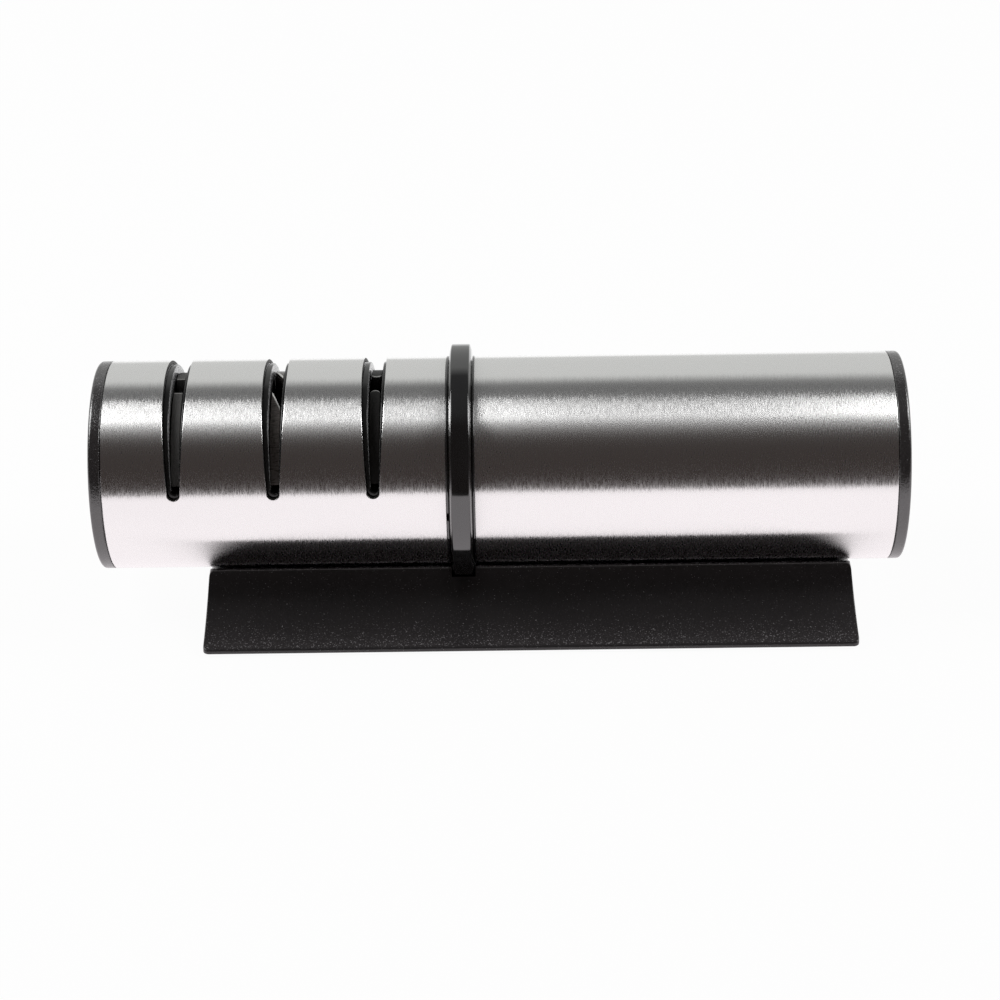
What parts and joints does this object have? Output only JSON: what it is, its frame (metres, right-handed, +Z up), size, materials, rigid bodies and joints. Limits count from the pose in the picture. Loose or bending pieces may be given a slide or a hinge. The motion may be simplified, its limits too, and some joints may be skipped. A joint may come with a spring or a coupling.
{
  "type": "knife sharpener",
  "caption": "Pull-through kitchen knife sharpener: a slotted brushed steel tube with crossed abrasive pairs inside, turning in the collar of a low black saddle base.",
  "frame": {"origin": "on the table, under the middle of the body's length", "axes": "+X along the body from the slotted head to the handle, +Y to the rear, +Z up"},
  "size_m": [0.1916, 0.0714, 0.06],
  "materials": {
    "brushed_steel": "brushed round the tube",
    "grained_plastic": "fine spark-eroded grain",
    "gloss_plastic": "polished",
    "inner_plastic": "satin",
    "holder_nylon": "satin",
    "diamond_coat": "gritty diamond coating",
    "carbide": "ground",
    "fine_ceramic": "matte, fired",
    "rubber": "matte",
    "zinc_steel": "zinc plated"
  },
  "bodies": {
    "base": {"base_shell": "grained_plastic", "base_plate": "inner_plastic", "collar_ring": "gloss_plastic", "grip_strip_front": "rubber", "grip_strip_rear": "rubber", "plate_screw_1": "zinc_steel", "plate_screw_2": "zinc_steel", "plate_screw_3": "zinc_steel", "plate_screw_4": "zinc_steel", "collar_screw_front": "zinc_steel", "collar_screw_rear": "zinc_steel"},
    "body": {"head_sleeve": "brushed_steel", "handle_sleeve": "brushed_steel", "head_cap": "grained_plastic", "handle_cap": "grained_plastic", "collar_snap_ring": "gloss_plastic", "collar_washer": "gloss_plastic", "hub": "inner_plastic", "handle_core": "inner_plastic", "stage_1_body": "inner_plastic", "stage_2_body": "inner_plastic", "stage_3_body": "inner_plastic", "stage_1_holder": "holder_nylon", "stage_2_holder": "holder_nylon", "stage_3_holder": "holder_nylon", "diamond_rod_front": "diamond_coat", "diamond_rod_rear": "diamond_coat", "carbide_blade_front": "carbide", "carbide_blade_rear": "carbide", "ceramic_rod_front": "fine_ceramic", "ceramic_rod_rear": "fine_ceramic", "friction_ring": "rubber", "holder_screw_1_front": "zinc_steel", "holder_screw_1_rear": "zinc_steel", "holder_screw_2_front": "zinc_steel", "holder_screw_2_rear": "zinc_steel", "holder_screw_3_front": "zinc_steel", "holder_screw_3_rear": "zinc_steel", "head_tie_rod_front": "zinc_steel", "head_tie_rod_rear": "zinc_steel", "handle_stud": "zinc_steel"}
  },
  "joints": [
    {"name": "body_turn", "type": "hinge", "parent": "base", "child": "body", "pos_m": [0, 0, 0.032], "axis": [1, 0, 0], "continuous": true}
  ]
}
